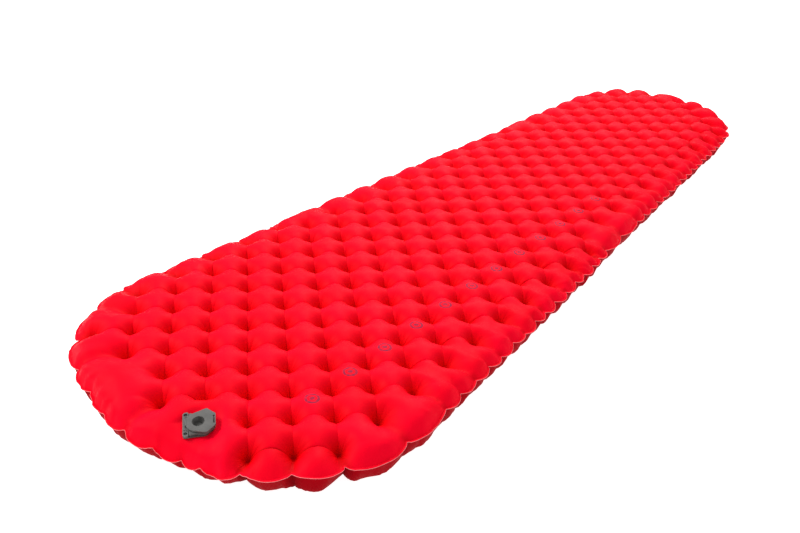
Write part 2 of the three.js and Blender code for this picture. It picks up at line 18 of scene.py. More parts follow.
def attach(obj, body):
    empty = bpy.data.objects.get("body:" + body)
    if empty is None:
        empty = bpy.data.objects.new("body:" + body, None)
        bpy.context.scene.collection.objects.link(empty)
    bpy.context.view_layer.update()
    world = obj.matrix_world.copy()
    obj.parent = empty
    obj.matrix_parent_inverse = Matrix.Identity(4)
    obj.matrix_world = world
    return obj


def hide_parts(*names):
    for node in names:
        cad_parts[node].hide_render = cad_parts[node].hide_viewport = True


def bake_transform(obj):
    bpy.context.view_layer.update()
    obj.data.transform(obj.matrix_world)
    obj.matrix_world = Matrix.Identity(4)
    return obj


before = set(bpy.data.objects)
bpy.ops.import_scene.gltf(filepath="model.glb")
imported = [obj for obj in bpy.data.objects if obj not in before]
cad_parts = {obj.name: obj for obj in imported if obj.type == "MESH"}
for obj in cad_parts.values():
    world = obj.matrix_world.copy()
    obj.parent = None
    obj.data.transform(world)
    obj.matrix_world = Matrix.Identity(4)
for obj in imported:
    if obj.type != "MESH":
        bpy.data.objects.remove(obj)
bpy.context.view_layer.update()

MM = 0.001

# ---- The pad's outline, as in the CAD ----

PAD_LENGTH = 1840 * MM
MID_HEIGHT = 25 * MM
HEAD_HALF_WIDTH = 281 * MM
FOOT_HALF_WIDTH = 208 * MM
HEAD_ROUNDING = 246 * MM
FOOT_ROUNDING = 216 * MM
SIDE_BOW = 2 * MM
HEAD_CENTRE_X = -PAD_LENGTH / 2 + HEAD_ROUNDING
FOOT_CENTRE_X = PAD_LENGTH / 2 - FOOT_ROUNDING

# ---- The weld dots: a square grid turned 45 degrees ----

DOT_SPACING = 76.4 * MM
GRID_ORIGIN = Vector((-741 * MM, -29.5 * MM))
GRID_REACH = 30
DOT_EDGE_MARGIN = 25 * MM
DOT_RADIUS = 4.5 * MM
OPEN_CORNER_DOT = (-3, 0)

# ---- The valve's place ----

VALVE_CENTRE = Vector((-863 * MM, -68.5 * MM, 46.5 * MM))
VALVE_TURN = math.radians(-42.5)
VALVE_LEAN = math.radians(9)
VALVE_LEAN_HEADING = math.radians(214.6)
VALVE_CLEAR_RADIUS = 55 * MM
VALVE_PATCH_RADIUS = 26 * MM  # past the weld flange's edge
VALVE_HOLE_RADIUS = 16.6 * MM  # of the hole's corners, under the valve's base plate
VALVE_BLEND = 30 * MM  # over which the fabric round the patch comes level with it

# ---- The cloth ----

CELL_LINES = (0, 0.035, 0.15, 0.32, 0.5, 0.68, 0.85, 0.965)  # across a cell, close beside its creases
FABRIC_STEP = DOT_SPACING / math.sqrt(2) / len(CELL_LINES)
FABRIC_THICKNESS = 0.4 * MM
SHELL_GAP = 2.4 * MM  # between the two shells at a weld, which the insulation runs through
RIM_STEP = 5 * MM
RIM_INSET = 5 * MM  # how far inside the CAD's outline the seam starts
GRID_INSET = 0.7  # how far inside the rim the pattern's grid ends, in fabric steps
NO_DOT_NEAR = 1000 * MM  # stands for the distance to the nearest dot where there is none
CELL_RISE = 14 * MM  # starting height of the cells
UPPER_EDGE_RISE = 16 * MM  # the same, beside the seam: the lower shell is the fuller one there
LOWER_EDGE_RISE = 27 * MM
DOT_SLOPE = 26 * MM  # from a dot's edge to where the cells start at their full height
SEAM_LIFT = 3 * MM  # the seam's height over the weld dots
SEAM_WAVE = 4 * MM  # how much higher it starts at its firmest tucks
EDGE_ROUNDING = 22 * MM
ANCHOR_REACH = 90 * MM  # dots this near to the seam hold it in
ANCHOR_SPACING_RIGHT = 28 * MM  # the right side is gathered more finely than the left
ANCHOR_SPACING_LEFT = 60 * MM
FREE_SEAM_TUCK = 44 * MM  # between the tucks where no dot is near
LONGEST_LOBE = 90 * MM
FREE_HOLD = 0.6  # how firmly such a tuck is held in, next to one beside a dot
FREE_SPREAD = (0.6, 1.4)  # how unevenly such tucks are spaced and held
TUCK_IN = 4 * MM  # how far a tuck draws the seam in
TUCK_UP = 3 * MM  # and up
TUCK_REACH = 7 * MM
TUCK_END = 6 * TUCK_REACH  # where nothing is left of its pull
TUCK_FOLD = 0.45  # how deep the fold behind a tuck is, for the shell's height there
FOLD_WIDTH = 0.16  # and how wide, for the lobe beside it
LOWER_FOLD = 0.3  # how deep the lower shell's folds are, next to the upper shell's
LOBE_SWING = 0.11  # how far a lobe swings out, for its length
LONGEST_SWING = 6 * MM
CREASE_DEPTH = 1.2 * MM
CREASE_SPREAD = (0.6, 1.2)  # how unevenly deep the creases are
TUCK_SHADE = 0.8  # how dark the painted shade in a tuck's fold is, next to that in a crease
SADDLE_LIFT = 3.5 * MM  # how much fuller the cloth stands halfway between two neighbouring dots
SADDLE_REACH = 30 * MM  # how near to a dot the cloth between two dots is
SADDLE_BLEND = 10 * MM
PIT_REACH = 26 * MM  # from a dot's middle to where the cloth no longer looks sunken: where the painted shade in its hollow, and its puckers, end
SIM_FRAMES = 24
SPARE_CLOTH = 0.24  # cloth cut larger than the shape it fills
SPARE_CLOTH_OPEN = 0.05  # the same, far from any dot
OPEN_START = 46 * MM  # from a dot, where the cloth starts to be cut as if far from it
OPEN_BLEND = 26 * MM
EDGE_REACH = 40 * MM  # how far from the seam the cells change towards its own shape
SEED = 7


# ---------------------------------------------------------------- small helpers


def smoothstep(t):
    t = np.clip(t, 0, 1)
    return t * t * (3 - 2 * t)


def new_object(name, data):
    piece = bpy.data.objects.new(name, data)
    bpy.context.scene.collection.objects.link(piece)
    return piece


def vertex_places(mesh):
    places = np.empty(len(mesh.vertices) * 3)
    mesh.vertices.foreach_get("co", places)
    return places.reshape(-1, 3)


def vertex_normals(mesh):
    normals = np.empty(len(mesh.vertices) * 3)
    mesh.vertex_normals.foreach_get("vector", normals)
    return normals.reshape(-1, 3)


def blurred(values, rounds):
    """Values round a loop, each averaged with its two neighbours, a number of times."""
    for _ in range(rounds):
        values = (np.roll(values, 1, axis=0) + values + np.roll(values, -1, axis=0)) / 3
    return values


# ---------------------------------------------------------------- outline and weld grid


def half_width(x, inset=0.0):
    """How far the outline, moved in by inset, reaches from the centre line. Beyond its ends, -1."""
    x = np.asarray(x, float)
    slope = (HEAD_HALF_WIDTH - FOOT_HALF_WIDTH) / (FOOT_CENTRE_X - HEAD_CENTRE_X)
    along = np.clip((x - HEAD_CENTRE_X) / (FOOT_CENTRE_X - HEAD_CENTRE_X), 0, 1)
    straight = HEAD_HALF_WIDTH - slope * (x - HEAD_CENTRE_X) - SIDE_BOW * np.sin(math.pi * along) - inset
    past_head = np.maximum(HEAD_CENTRE_X - x, 0) / (HEAD_ROUNDING - inset)
    past_foot = np.maximum(x - FOOT_CENTRE_X, 0) / (FOOT_ROUNDING - inset)
    rounding = 1 - past_head**2 - past_foot**2
    return np.where(rounding < 0, -1, straight * np.sqrt(np.maximum(rounding, 0)))


def outline_loop(inset, step):
    """Points of the outline at equal steps, counter-clockwise from the head's tip."""
    end_samples, side_samples = 600, 900
    angles = np.linspace(0, math.pi / 2, end_samples)
    head = HEAD_CENTRE_X - (HEAD_ROUNDING - inset) * np.sin(angles[::-1])
    side = np.linspace(HEAD_CENTRE_X, FOOT_CENTRE_X, side_samples)[1:-1]
    foot = FOOT_CENTRE_X + (FOOT_ROUNDING - inset) * np.sin(angles)
    x = np.concatenate([head, side, foot])
    y = np.maximum(half_width(x, inset), 0)
    y[[0, -1]] = 0
    loop = np.vstack([np.column_stack([x, -y]), np.column_stack([x, y])[::-1][1:]])
    lengths = np.concatenate([[0], np.cumsum(np.linalg.norm(np.diff(loop, axis=0), axis=1))])
    count = round(lengths[-1] / step)
    at = np.arange(count) * lengths[-1] / count
    return np.column_stack([np.interp(at, lengths, loop[:, k]) for k in (0, 1)])


def on_pad(i, j):
    """Where grid coordinates lie on the pad."""
    along, across = (i + j) / 2, (j - i) / 2
    return GRID_ORIGIN.x + along * DOT_SPACING, GRID_ORIGIN.y + across * DOT_SPACING


def on_grid(x, y):
    """The grid coordinates of a place on the pad."""
    along, across = (x - GRID_ORIGIN.x) / DOT_SPACING, (y - GRID_ORIGIN.y) / DOT_SPACING
    return along - across, along + across


def is_welded(i, j):
    """Whether a dot welds the shells together at grid coordinates i, j, which are whole numbers."""
    x, y = on_pad(i, j)
    inside = np.abs(y) <= half_width(x, DOT_EDGE_MARGIN)
    clear = np.hypot(x - VALVE_CENTRE.x, y - VALVE_CENTRE.y) > VALVE_CLEAR_RADIUS
    open_corner = (i == OPEN_CORNER_DOT[0]) & (j == OPEN_CORNER_DOT[1])
    return inside & clear & ~open_corner


def weld_dots():
    steps = np.arange(-GRID_REACH, GRID_REACH + 1)
    i, j = (axis.ravel() for axis in np.meshgrid(steps, steps))
    welded = is_welded(i, j)
    return np.column_stack(on_pad(i[welded], j[welded]))


# ---------------------------------------------------------------- the seam's scallops


def outward_normals(loop):
    """Unit vectors that point out of a counter-clockwise loop, one for each of its points."""
    tangent = np.roll(loop, -1, axis=0) - np.roll(loop, 1, axis=0)
    outwards = np.column_stack([tangent[:, 1], -tangent[:, 0]])
    return outwards / np.linalg.norm(outwards, axis=1)[:, None]


def lobes(anchors, count):
    """The first and last rim index of each lobe between two anchors. The last may be past the rim's end."""
    order = sorted(anchors)
    return list(zip(order, order[1:] + [order[0] + count]))


def seam_anchors(rim, dots):
    """Where tucks hold the seam in: {index on the rim: its dot or None, and how firmly it holds, 0..1}."""
    random = np.random.default_rng(SEED)
    reach = np.linalg.norm(rim[:, None] - dots[None], axis=2)
    nearest = reach.min(axis=0)
    anchors = {}
    for dot in np.argsort(nearest):
        at = int(reach[:, dot].argmin())
        gaps = [RIM_STEP * min((at - k) % len(rim), (k - at) % len(rim)) for k in anchors]
        spacing = ANCHOR_SPACING_LEFT if rim[at, 1] > 0 else ANCHOR_SPACING_RIGHT
        if nearest[dot] < ANCHOR_REACH and all(gap >= spacing for gap in gaps):
            slack = smoothstep((nearest[dot] - DOT_EDGE_MARGIN) / (ANCHOR_REACH - DOT_EDGE_MARGIN))
            anchors[at] = SimpleNamespace(dot=dots[dot], hold=1 - (1 - FREE_HOLD) * slack)
    for start, end in lobes(anchors, len(rim)):
        gap = (end - start) * RIM_STEP
        steps = random.uniform(*FREE_SPREAD, round(gap / FREE_SEAM_TUCK) if gap > LONGEST_LOBE else 1)
        for share in np.cumsum(steps)[:-1] / steps.sum():
            at = round(start + (end - start) * share) % len(rim)
            anchors[at] = SimpleNamespace(dot=None, hold=FREE_HOLD * random.uniform(*FREE_SPREAD))
    return anchors


def along_lobes(count, anchors):
    """For each rim point: how far along its lobe it is, 0..1, and the lobe's length and hold."""
    share, length, hold = np.zeros(count), np.zeros(count), np.zeros(count)
    for start, end in lobes(anchors, count):
        for k in range(start, end):
            share[k % count] = (k - start) / (end - start)
            length[k % count] = (end - start) * RIM_STEP
            hold[k % count] = (anchors[start].hold + anchors[end % count].hold) / 2
    return share, length, hold


def scalloped(rim, anchors):
    """The rim with a lobe swung out between each two anchors."""
    share, length, hold = along_lobes(len(rim), anchors)
    swing = hold * np.minimum(LOBE_SWING * length, LONGEST_SWING) * np.sin(math.pi * share)
    return rim + outward_normals(rim) * swing[:, None]


def tuck_share(points, rim, anchors):
    """How deep each point lies in a fold between a dot and the tuck that it holds in, 0..1."""
    share = np.zeros(len(points))
    _, length, _ = along_lobes(len(rim), anchors)
    for at, anchor in anchors.items():
        if anchor.dot is not None:
            line = rim[at] - anchor.dot
            t = np.clip((points - anchor.dot) @ line / (line @ line), 0, 1)
            away = np.linalg.norm(points - anchor.dot - t[:, None] * line, axis=1)
            fold = anchor.hold * np.exp(-((away / (FOLD_WIDTH * length[at])) ** 2))
            share = np.maximum(share, fold)
    return share


# ---------------------------------------------------------------- the cloth pattern


def grid_patch():
    """The part of the pattern that is a grid: points, grid coordinates, quads and filled squares."""
    cells = range(-GRID_REACH, GRID_REACH)
    lines = np.array([cell + line for cell in cells for line in CELL_LINES])
    i, j = np.meshgrid(lines, lines, indexing="ij")
    x, y = on_pad(i, j)
    inside = np.abs(y) <= half_width(x, GRID_INSET * FABRIC_STEP + RIM_INSET)
    filled = inside[:-1, :-1] & inside[1:, :-1] & inside[1:, 1:] & inside[:-1, 1:]
    rows, columns = np.nonzero(filled)
    index = np.full(x.shape, -1)
    for down, right in ((0, 0), (1, 0), (1, 1), (0, 1)):
        index[rows + down, columns + right] = 0
    used = index == 0
    index[used] = np.arange(used.sum())
    quads = np.column_stack([
        index[rows, columns],
        index[rows + 1, columns],
        index[rows + 1, columns + 1],
        index[rows, columns + 1],
    ])
    return SimpleNamespace(
        points=np.column_stack([x[used], y[used]]),
        grid=np.column_stack([i[used], j[used]]),
        quads=quads,
        squares=set(zip(rows.tolist(), columns.tolist())),
        lines=lines,
    )


def open_edges(faces):
    edges = set()
    for face in faces.tolist():
        for start, end in zip(face, face[1:] + face[:1]):
            if (end, start) in edges:
                edges.remove((end, start))
            else:
                edges.add((start, end))
    return sorted(edges)


def border_triangles(patch, rim):
    """Triangles between the grid patch and the rim: indices into the patch's points, then the rim's."""
    edges = open_edges(patch.quads)
    border = sorted({start for start, _ in edges})
    place = {index: k for k, index in enumerate(border)}
    inner, outer = len(border), len(rim)
    points = [Vector(patch.points[index]) for index in border] + [Vector(point) for point in rim]
    lines = [(place[start], place[end]) for start, end in edges]
    lines += [(inner + k, inner + (k + 1) % outer) for k in range(outer)]
    made, _, faces, origins, _, _ = delaunay_2d_cdt(points, lines, [], 1, 1e-6)
    source = [found[0] for found in origins]
    triangles = []
    for face in faces:
        middle = sum((made[corner] for corner in face), Vector((0, 0))) / len(face)
        row, column = np.searchsorted(patch.lines, on_grid(middle.x, middle.y), "right") - 1
        if (int(row), int(column)) not in patch.squares:
            corners = [source[corner] for corner in face]
            triangles.append([border[c] if c < inner else len(patch.points) + c - inner for c in corners])
    return np.array(triangles)


def cut_pattern():
    """The flat pattern of one shell: points, grid coordinates, faces, and where its rim starts."""
    dots = weld_dots()
    plain_rim = outline_loop(RIM_INSET, RIM_STEP)
    anchors = seam_anchors(plain_rim, dots)
    rim = scalloped(plain_rim, anchors)
    patch = grid_patch()
    triangles = border_triangles(patch, rim)
    points = np.vstack([patch.points, rim])
    return SimpleNamespace(
        points=points,
        grid=np.vstack([patch.grid, np.column_stack(on_grid(rim[:, 0], rim[:, 1]))]),
        faces=patch.quads.tolist() + triangles.tolist(),
        rim_start=len(patch.points),
        anchors=anchors,
        tuck=tuck_share(points, rim, anchors),
    )


# ---------------------------------------------------------------- inflating the pad


def valve_frame():
    """The valve's own frame: +x from its hinges to its pull tabs, z = 0 on the upper shell's outer face."""
    lean_axis = Vector((-math.sin(VALVE_LEAN_HEADING), math.cos(VALVE_LEAN_HEADING), 0))
    turned = Matrix.Rotation(VALVE_LEAN, 4, lean_axis) @ Matrix.Rotation(VALVE_TURN, 4, "Z")
    return Matrix.Translation(VALVE_CENTRE) @ turned


def dot_distance(pattern):
    """How far each point of the pattern is from the middle of the nearest dot."""
    whole = np.round(pattern.grid)
    x, y = on_pad(*(pattern.grid - whole).T)
    away = np.hypot(x - GRID_ORIGIN.x, y - GRID_ORIGIN.y)
    return np.where(is_welded(whole[:, 0], whole[:, 1]), away, NO_DOT_NEAR)


def seam_distance(pattern):
    x, y = pattern.points.T
    return np.minimum(half_width(x) - np.abs(y), PAD_LENGTH / 2 - np.abs(x))


def beside_seam(pattern):
    """How near to the seam each point of the pattern is, 1 on it and then less, down to 0."""
    return np.exp(-((seam_distance(pattern) / EDGE_REACH) ** 2))


def starting_rise(pattern, from_dot, edge_rise, fold):
    """How far above its weld plane each point of a shell starts."""
    rise = CELL_RISE + (edge_rise - CELL_RISE) * beside_seam(pattern)
    rise *= smoothstep((from_dot - DOT_RADIUS) / DOT_SLOPE)
    inwards = np.clip(seam_distance(pattern) / EDGE_ROUNDING, 0, 1)
    rise *= np.sqrt(inwards * (2 - inwards))
    rise *= 1 - fold * pattern.tuck
    rise[pattern.rim_start:] = 0
    return rise


def valve_patch(pattern):
    """The valve plane's height at each point of the upper shell, its share there, and where it is fixed."""
    normal = valve_frame().to_3x3() @ Vector((0, 0, 1))
    away = pattern.points - np.array(VALVE_CENTRE.xy)
    height = VALVE_CENTRE.z - FABRIC_THICKNESS - away @ np.array(normal.xy) / normal.z
    distance = np.linalg.norm(away, axis=1)
    share = smoothstep(1 - (distance - VALVE_PATCH_RADIUS) / VALVE_BLEND)
    return height, share, distance < VALVE_PATCH_RADIUS


def both_shells(pattern):
    """The two shells, joined at the rim, before the air goes in.

    Gives their places and faces, which points are fixed, and how little spare cloth each has, 0..1.
    """
    from_dot = dot_distance(pattern)
    rim_start, count = pattern.rim_start, len(pattern.points)
    share, _, hold = along_lobes(count - rim_start, pattern.anchors)
    rim_height = SEAM_LIFT + SEAM_WAVE * hold * (1 - np.sin(math.pi * share))
    upper_rise = starting_rise(pattern, from_dot, UPPER_EDGE_RISE, TUCK_FOLD)
    lower_rise = starting_rise(pattern, from_dot, LOWER_EDGE_RISE, TUCK_FOLD * LOWER_FOLD)
    upper = MID_HEIGHT + SHELL_GAP / 2 + upper_rise
    valve_height, valve_share, on_valve = valve_patch(pattern)
    upper = upper * (1 - valve_share) + valve_height * valve_share
    upper[rim_start:] = MID_HEIGHT + rim_height
    lower = MID_HEIGHT - SHELL_GAP / 2 - lower_rise
    on_dot = from_dot < DOT_RADIUS
    places = np.vstack([
        np.column_stack([pattern.points, upper]),
        np.column_stack([pattern.points, lower])[:rim_start],
    ])
    under = [[k if k >= rim_start else k + count for k in face[::-1]] for face in pattern.faces]
    fixed = np.concatenate([on_dot | on_valve, on_dot[:rim_start]])
    calm = smoothstep((from_dot - OPEN_START) / OPEN_BLEND)
    upper_calm = np.maximum(calm, beside_seam(pattern))
    upper_calm[rim_start:] = 1
    return places, pattern.faces + under, fixed, np.concatenate([upper_calm, calm[:rim_start]])


def weight_group(piece, name, weights):
    """A vertex group with the given weights, in steps of a tenth."""
    group = piece.vertex_groups.new(name=name)
    for tenth in range(1, 11):
        members = np.nonzero(np.round(weights * 10) == tenth)[0]
        if len(members):
            group.add(members.tolist(), tenth / 10, "REPLACE")


def inflate(places, faces, fixed, calm):
    """The places of the shells' points once the air is in."""
    mesh = bpy.data.meshes.new("inflating")
    mesh.from_pydata(places.tolist(), [], faces)
    pad = new_object("inflating", mesh)
    weight_group(pad, "fixed", fixed.astype(float))
    weight_group(pad, "calm", calm)
    cloth = pad.modifiers.new("cloth", "CLOTH")
    settings = cloth.settings
    settings.quality = 6
    settings.mass = 0.01
    settings.air_damping = 1
    settings.tension_stiffness = 60
    settings.compression_stiffness = 0
    settings.shear_stiffness = 5
    settings.bending_stiffness = 0.02
    settings.tension_damping = 5
    settings.compression_damping = 5
    settings.shear_damping = 5
    settings.bending_damping = 0.5
    settings.vertex_group_mass = "fixed"
    settings.vertex_group_shrink = "calm"
    settings.shrink_min = -SPARE_CLOTH
    settings.shrink_max = -SPARE_CLOTH_OPEN
    settings.use_pressure = True
    settings.uniform_pressure_force = 35
    settings.effector_weights.gravity = 0
    cloth.collision_settings.use_collision = False
    cloth.point_cache.frame_start = 1
    cloth.point_cache.frame_end = SIM_FRAMES + 1
    for now in range(1, SIM_FRAMES + 1):
        bpy.context.scene.frame_set(now)
    swollen = pad.evaluated_get(bpy.context.evaluated_depsgraph_get()).data
    result = vertex_places(swollen)
    bpy.data.objects.remove(pad)
    bpy.context.scene.frame_set(1)
    return result


def pinch_tucks(places, pattern):
    """Draws the seam in and up at each tuck, which leaves a cusp, and folds the cloth behind it."""
    rim_start = pattern.rim_start
    flat = np.vstack([pattern.points, pattern.points[:rim_start]])
    outwards = outward_normals(pattern.points[rim_start:])
    for at, anchor in pattern.anchors.items():
        from_tuck = np.linalg.norm(flat - flat[rim_start + at], axis=1)
        near = np.nonzero(from_tuck < TUCK_END)[0]
        share = anchor.hold * np.exp(-from_tuck[near] / TUCK_REACH)
        places[near, :2] -= TUCK_IN * share[:, None] * outwards[at]
        places[near, 2] += TUCK_UP * share
    _, valve_share, _ = valve_patch(pattern)
    upper_fold = pattern.tuck * (1 - valve_share)
    fold = np.concatenate([upper_fold, LOWER_FOLD * pattern.tuck[:rim_start]])
    places[:, 2] -= (places[:, 2] - MID_HEIGHT - SEAM_LIFT) * TUCK_FOLD * fold


def fill_saddles(places, pattern):
    """Makes both shells fuller halfway between each two neighbouring dots."""
    i, j = math.pi * pattern.grid.T
    between = (np.sin(i) * np.cos(j)) ** 2 + (np.cos(i) * np.sin(j)) ** 2
    among_dots = 1 - smoothstep((dot_distance(pattern) - SADDLE_REACH) / SADDLE_BLEND)
    _, valve_share, _ = valve_patch(pattern)
    lift = SADDLE_LIFT * between * among_dots * (1 - valve_share) * (1 - beside_seam(pattern))
    count, rim_start = len(pattern.points), pattern.rim_start
    places[:count, 2] += lift
    places[count:, 2] -= lift[:rim_start]


def settle_on_floor(places):
    """Flattens what would reach below the floor, with a soft edge to the contact."""
    softness = 1.5 * MM
    z = places[:, 2]
    places[:, 2] = (z + np.sqrt(z * z + softness * softness)) / 2


def crease_share(pattern):
    """For each point, how deep in a crease between two neighbouring dots it lies, 0..1."""
    random = np.random.default_rng(SEED)
    depth = random.uniform(*CREASE_SPREAD, (2, 4 * GRID_REACH, 4 * GRID_REACH))
    share = np.zeros(len(pattern.points))
    for axis in (0, 1):
        line, run = pattern.grid[:, axis], pattern.grid[:, 1 - axis]
        whole, step = np.round(line).astype(int), np.floor(run).astype(int)
        ends = [(whole, step), (whole, step + 1)]
        welded = [is_welded(*(end if axis == 0 else end[::-1])) for end in ends]
        on_line = (np.abs(line - whole) < 1e-6) & welded[0] & welded[1]
        wave = np.abs(np.sin(math.pi * run)) ** 0.6
        found = on_line * wave * depth[axis, whole + 2 * GRID_REACH, step + 2 * GRID_REACH]
        share = np.maximum(share, found)
    return share * (1 - beside_seam(pattern))


def press_creases(mesh, depth):
    """Presses the cloth in by the given depths, but not through the floor."""
    places = vertex_places(mesh)
    places -= vertex_normals(mesh) * depth[:, None]
    places[:, 2] = np.maximum(places[:, 2], 0)
    mesh.vertices.foreach_set("co", places.ravel())
    mesh.update()


def shell_piece(name, pattern, places, faces):
    """One shell as a fine smooth mesh, which knows each point's place on the flat cloth."""
    mesh = bpy.data.meshes.new(name)
    mesh.from_pydata(places.tolist(), [], faces)
    mesh.update()
    creases = crease_share(pattern)
    press_creases(mesh, creases * CREASE_DEPTH)
    # Painted shade: the creases and the folds behind the tucks get the crease attribute, which darkens
    # their colour.
    creases = np.maximum(creases, TUCK_SHADE * pattern.tuck**3)
    flat = np.column_stack([pattern.points, np.zeros(len(pattern.points))])
    mesh.attributes.new("cloth_place", "FLOAT_VECTOR", "POINT").data.foreach_set("vector", flat.ravel())
    mesh.attributes.new("crease", "FLOAT", "POINT").data.foreach_set("value", creases)
    # The pit mask sets the painted shade in the hollow round each dot, and where the puckers are.
    pit = np.clip(1 - dot_distance(pattern) / PIT_REACH, 0, 1)
    mesh.attributes.new("pit", "FLOAT", "POINT").data.foreach_set("value", pit)
    mesh.shade_smooth()
    piece = new_object(name, mesh)
    smooth = piece.modifiers.new("fine cloth", "SUBSURF")
    smooth.levels = smooth.render_levels = 1
    return piece


def cut_valve_hole(mesh, pattern):
    """Opens the cloth at the valve's middle and draws the flat cloth round it out to the hole's circle."""
    away = np.linalg.norm(pattern.points - np.array(VALVE_CENTRE.xy), axis=1)
    normal = valve_frame().to_3x3() @ Vector((0, 0, 1))
    ring_width = VALVE_PATCH_RADIUS - VALVE_HOLE_RADIUS
    shape = bmesh.new()
    shape.from_mesh(mesh)
    shape.verts.ensure_lookup_table()
    middle = shape.verts[int(away.argmin())]
    hole_edge = {vert for face in middle.link_faces for vert in face.verts}
    for vert, distance in zip(shape.verts, away):
        if distance < VALVE_PATCH_RADIUS:
            outwards = vert.co - VALVE_CENTRE
            outwards -= normal * outwards.dot(normal)
            share = 0 if vert in hole_edge else distance / VALVE_PATCH_RADIUS
            vert.co += outwards.normalized() * (VALVE_HOLE_RADIUS + ring_width * share) - outwards
    bmesh.ops.delete(shape, geom=list(middle.link_faces), context="FACES")
    shape.to_mesh(mesh)
    shape.free()


def seam_strip(rim):
    """The flat weld that runs round the pad outside the rim, as one closed strip with a raw outer edge.

    Gives the piece and the material slot of each of its faces, 1 on the raw edge.
    """
    width, thickness, overlap = 2.4 * MM, 0.7 * MM, 1.2 * MM
    flutter_height = 1.6 * MM
    tangent = np.roll(rim, -1, axis=0) - np.roll(rim, 1, axis=0)
    outwards = np.column_stack([tangent[:, 1], -tangent[:, 0], np.zeros(len(rim))])
    outwards = blurred(outwards, 6)
    outwards /= np.linalg.norm(outwards, axis=1)[:, None]
    random = np.random.default_rng(SEED)
    flutter = blurred(random.normal(0, 1, len(rim)), 4)
    rise = np.array([0, 0, 1])
    outer = rim + outwards * width + flutter[:, None] * rise * flutter_height
    inner = rim - outwards * overlap
    half = rise * thickness / 2
    lip = outwards * thickness / 2
    rows = [inner - half * 0.5, rim - half * 0.8, outer - half, outer + lip - half * 0.4]
    rows += [outer + lip + half * 0.4, outer + half, rim + half * 0.8, inner + half * 0.5]
    raw_sides = (2, 3, 4)  # round the outer edge, counted from the first row
    count, around = len(rim), len(rows)
    faces = []
    for k in range(count):
        following = (k + 1) % count
        for side in range(around):
            beside = (side + 1) % around
            faces.append((
                side * count + k, side * count + following, beside * count + following, beside * count + k,
            ))
    mesh = bpy.data.meshes.new("seam_weld")
    mesh.from_pydata(np.vstack(rows).tolist(), [], faces)
    mesh.shade_smooth()
    piece = new_object("seam_weld", mesh)
    edge_slots = [int(side in raw_sides) for _ in range(count) for side in range(around)]
    return piece, edge_slots


# ---------------------------------------------------------------- materials


class Look:
    """A procedural material, with short calls to add its nodes."""

    def __init__(self, name, **constants):
        self.material = bpy.data.materials.new(name)
        self.material.use_nodes = True
        self.tree = self.material.node_tree
        self.shader = self.tree.nodes["Principled BSDF"]
        for socket, value in constants.items():
            self.shader.inputs[socket.replace("_", " ")].default_value = value

    def set(self, socket, value):
        if isinstance(value, bpy.types.NodeSocket):
            self.tree.links.new(value, socket)
        else:
            socket.default_value = value

    def node(self, kind, output, properties=None, **inputs):
        made = self.tree.nodes.new(kind)
        for name, value in (properties or {}).items():
            setattr(made, name, value)
        for name, value in inputs.items():
            self.set(made.inputs[name.replace("_", " ")], value)
        return made.outputs[output]

    def math(self, operation, *values):
        made = self.tree.nodes.new("ShaderNodeMath")
        made.operation = operation
        for socket, value in zip(made.inputs, values):
            self.set(socket, value)
        return made.outputs[0]

    def vector_math(self, operation, *values):
        made = self.tree.nodes.new("ShaderNodeVectorMath")
        made.operation = operation
        for socket, value in zip(made.inputs, values):
            self.set(socket, value)
        return made.outputs[0]

    def attribute(self, name, output):
        return self.node("ShaderNodeAttribute", output, {"attribute_name": name})

    def place(self):
        return self.node("ShaderNodeTexCoord", "Object")

    def stretched(self, vector, scale):
        return self.node("ShaderNodeMapping", "Vector", Vector=vector, Scale=scale)

    def noise(self, vector, scale, detail=2.0, roughness=0.5):
        inputs = {"Vector": vector, "Scale": scale, "Detail": detail, "Roughness": roughness}
        return self.node("ShaderNodeTexNoise", "Fac", **inputs)

    def span(self, value, low, high, out_low, out_high):
        limits = {"From_Min": low, "From_Max": high, "To_Min": out_low, "To_Max": out_high}
        return self.node("ShaderNodeMapRange", "Result", Value=value, **limits)

    def parts(self, vector):
        """The x, y and z of a vector."""
        separate = self.tree.nodes.new("ShaderNodeSeparateXYZ")
        self.set(separate.inputs[0], vector)
        return separate.outputs

    def joined(self, x, y, z=0.0):
        return self.node("ShaderNodeCombineXYZ", "Vector", X=x, Y=y, Z=z)

    def mix(self, factor, first, second):
        made = self.tree.nodes.new("ShaderNodeMix")
        made.data_type = "RGBA"
        for socket, value in ((made.inputs[0], factor), (made.inputs[6], first), (made.inputs[7], second)):
            self.set(socket, value)
        return made.outputs[2]

    def bump(self, height, distance, strength=1.0, normal=None):
        inputs = {"Height": height, "Distance": distance, "Strength": strength}
        if normal is not None:
            inputs["Normal"] = normal
        return self.node("ShaderNodeBump", "Normal", **inputs)

    def into(self, socket, value):
        self.tree.links.new(value, self.shader.inputs[socket])


def scaled(colour, share):
    """A darker colour, or a paler one where share is over 1."""
    return tuple(channel * share for channel in colour[:3]) + (1,)


MARK_ROW_START = (1.5, -1.5)  # grid coordinates of the first marked cell
MARK_COUNT = 12
MARK_RADIUS = 7 * MM
MARK_LINE = 1.4 * MM  # to either side of that radius
MARK_SPOT_RADIUS = 3 * MM


def printed_marks(look, cloth_place):
    """A mask of plain marks, a spot in a ring, one on each cell of part of one row."""
    x0, y0 = on_pad(*MARK_ROW_START)
    x, y, _ = look.parts(cloth_place)
    along = look.math("SUBTRACT", x, x0 - DOT_SPACING / 2)
    across = look.math("SUBTRACT", y, y0)
    local = look.math("SUBTRACT", look.math("FLOORED_MODULO", along, DOT_SPACING), DOT_SPACING / 2)
    squares = look.math("POWER", local, 2), look.math("POWER", across, 2)
    radius = look.math("SQRT", look.math("ADD", *squares))
    ring = look.math("COMPARE", radius, MARK_RADIUS, MARK_LINE)
    spot = look.math("LESS_THAN", radius, MARK_SPOT_RADIUS)
    drawn = look.math("MAXIMUM", ring, spot)
    started = look.math("GREATER_THAN", along, 0)
    unfinished = look.math("LESS_THAN", along, MARK_COUNT * DOT_SPACING)
    return look.math("MULTIPLY", drawn, look.math("MULTIPLY", started, unfinished))


